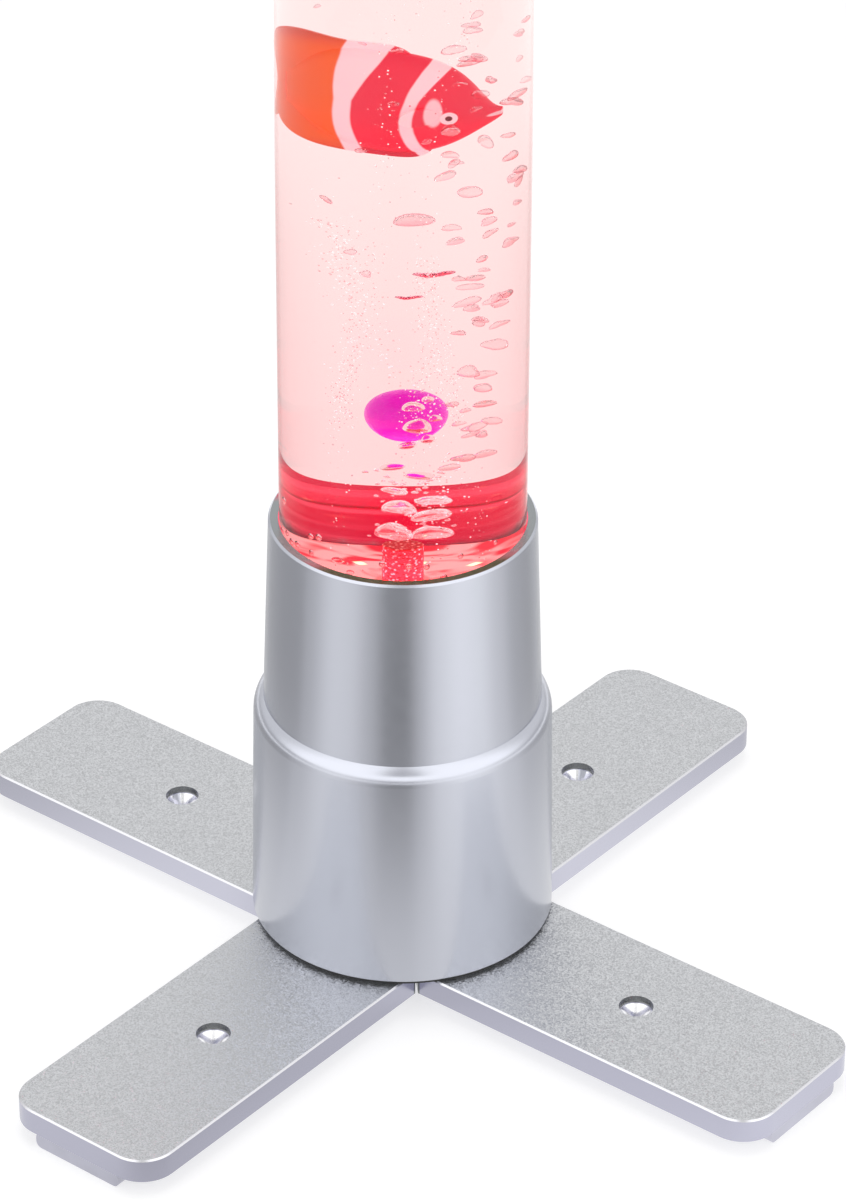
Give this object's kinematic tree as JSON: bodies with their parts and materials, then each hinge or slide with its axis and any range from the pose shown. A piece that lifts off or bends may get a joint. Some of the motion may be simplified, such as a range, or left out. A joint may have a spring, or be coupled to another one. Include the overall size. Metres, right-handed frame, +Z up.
{
  "type": "liquid motion floor lamp",
  "caption": "Bubble-column floor lamp: a clear water tube with floating fish on a stepped silver base with flat legs.",
  "frame": {"origin": "on the floor, in the middle of the four legs, on the axis of the tube", "axes": "+Z up along the tube, +Y to the rear where the power inlet is, +X to the right; the legs lie on the diagonals"},
  "size_m": [0.3, 0.3, 1.2],
  "materials": {
    "silver_paint": "satin silver paint on spun metal",
    "silver_texture": "sparkling textured silver powder coat",
    "bare_metal": "bright turned metal",
    "zinc_steel": "zinc-plated steel",
    "black_iron": "black enamelled iron",
    "clear_acrylic": "clear polished acrylic",
    "white_plastic": "white moulded plastic",
    "black_plastic": "black moulded plastic",
    "black_rubber": "black rubber",
    "clear_hose": "translucent soft hose",
    "stone": "porous bonded grit",
    "circuit_green": "green circuit board",
    "white_circuit": "white circuit board",
    "led_package": "lamp package with a yellowish window",
    "components": "dark component bodies",
    "coil_wire": "enamelled copper winding",
    "core_iron": "stacked iron sheets",
    "magnet": "ferrite magnet",
    "fish_orange": "moulded soft plastic, orange with pale bands",
    "fish_yellow": "moulded soft plastic, yellow with pale bands",
    "fish_blue": "moulded soft plastic, blue with a dark flank",
    "ball_magenta": "hollow magenta ball",
    "ball_green": "hollow green ball",
    "ball_yellow": "hollow yellow ball"
  },
  "bodies": {
    "root": {"front_left_leg": "silver_texture", "front_right_leg": "silver_texture", "rear_left_leg": "silver_texture", "rear_right_leg": "silver_texture", "foot_bars": "silver_paint", "leg_hole_bushes": "bare_metal", "leg_screws": "zinc_steel", "base_plate": "black_iron", "housing_screws": "zinc_steel", "carrier_screws": "zinc_steel", "base_housing": "silver_paint", "power_inlet": "black_plastic", "inlet_nut": "zinc_steel", "acrylic_tube": "clear_acrylic", "tube_plug": "clear_acrylic", "tube_pad": "black_rubber", "tube_carrier": "white_plastic", "led_board": "white_circuit", "leds": "led_package", "reflector": "white_plastic", "air_fitting": "white_plastic", "fitting_seal": "black_rubber", "fitting_nut": "white_plastic", "air_stone": "stone", "pump_case": "black_plastic", "pump_lid": "black_plastic", "pump_feet": "black_rubber", "pump_core": "core_iron", "pump_coil": "coil_wire", "pivot_block": "black_rubber", "pump_diaphragm": "black_rubber", "valve_block": "black_plastic", "check_valve": "white_plastic", "lower_air_hose": "clear_hose", "upper_air_hose": "clear_hose", "control_board": "circuit_green", "board_components": "components", "power_cable": "black_rubber", "led_cable": "black_rubber"},
    "cap": {"top_cap": "silver_paint", "cap_seal": "black_rubber"},
    "pump_arm": {"swing_arm": "white_plastic", "arm_magnet": "magnet"},
    "lower_ball": {"lower_ball": "ball_magenta"},
    "middle_ball": {"middle_ball": "ball_green"},
    "upper_ball": {"upper_ball": "ball_yellow"},
    "lower_fish": {"lower_fish": "fish_orange"},
    "middle_fish": {"middle_fish": "fish_yellow"},
    "upper_fish": {"upper_fish": "fish_blue"}
  },
  "joints": [
    {"name": "cap_lift", "type": "slide", "parent": "root", "child": "cap", "axis": [0, 0, 1], "range_m": [0, 0.08]},
    {"name": "pump_arm_swing", "type": "hinge", "parent": "root", "child": "pump_arm", "pos_m": [0.03, -0.008, 0.0451], "axis": [0, 0, 1], "range_deg": [-1.5, 1.5], "deforming": ["pump_diaphragm"]},
    {"name": "lower_ball_float", "type": "slide", "parent": "root", "child": "lower_ball", "axis": [0, 0, 1], "range_m": [-0.025, 0.085]},
    {"name": "lower_fish_float", "type": "slide", "parent": "root", "child": "lower_fish", "axis": [0, 0, 1], "range_m": [-0.01, 0.125]},
    {"name": "middle_ball_float", "type": "slide", "parent": "root", "child": "middle_ball", "axis": [0, 0, 1], "range_m": [-0.023, 0.06]},
    {"name": "middle_fish_float", "type": "slide", "parent": "root", "child": "middle_fish", "axis": [0, 0, 1], "range_m": [-0.045, 0.1]},
    {"name": "upper_ball_float", "type": "slide", "parent": "root", "child": "upper_ball", "axis": [0, 0, 1], "range_m": [-0.04, 0.06]},
    {"name": "upper_fish_float", "type": "slide", "parent": "root", "child": "upper_fish", "axis": [0, 0, 1], "range_m": [-0.044, 0.12]}
  ]
}
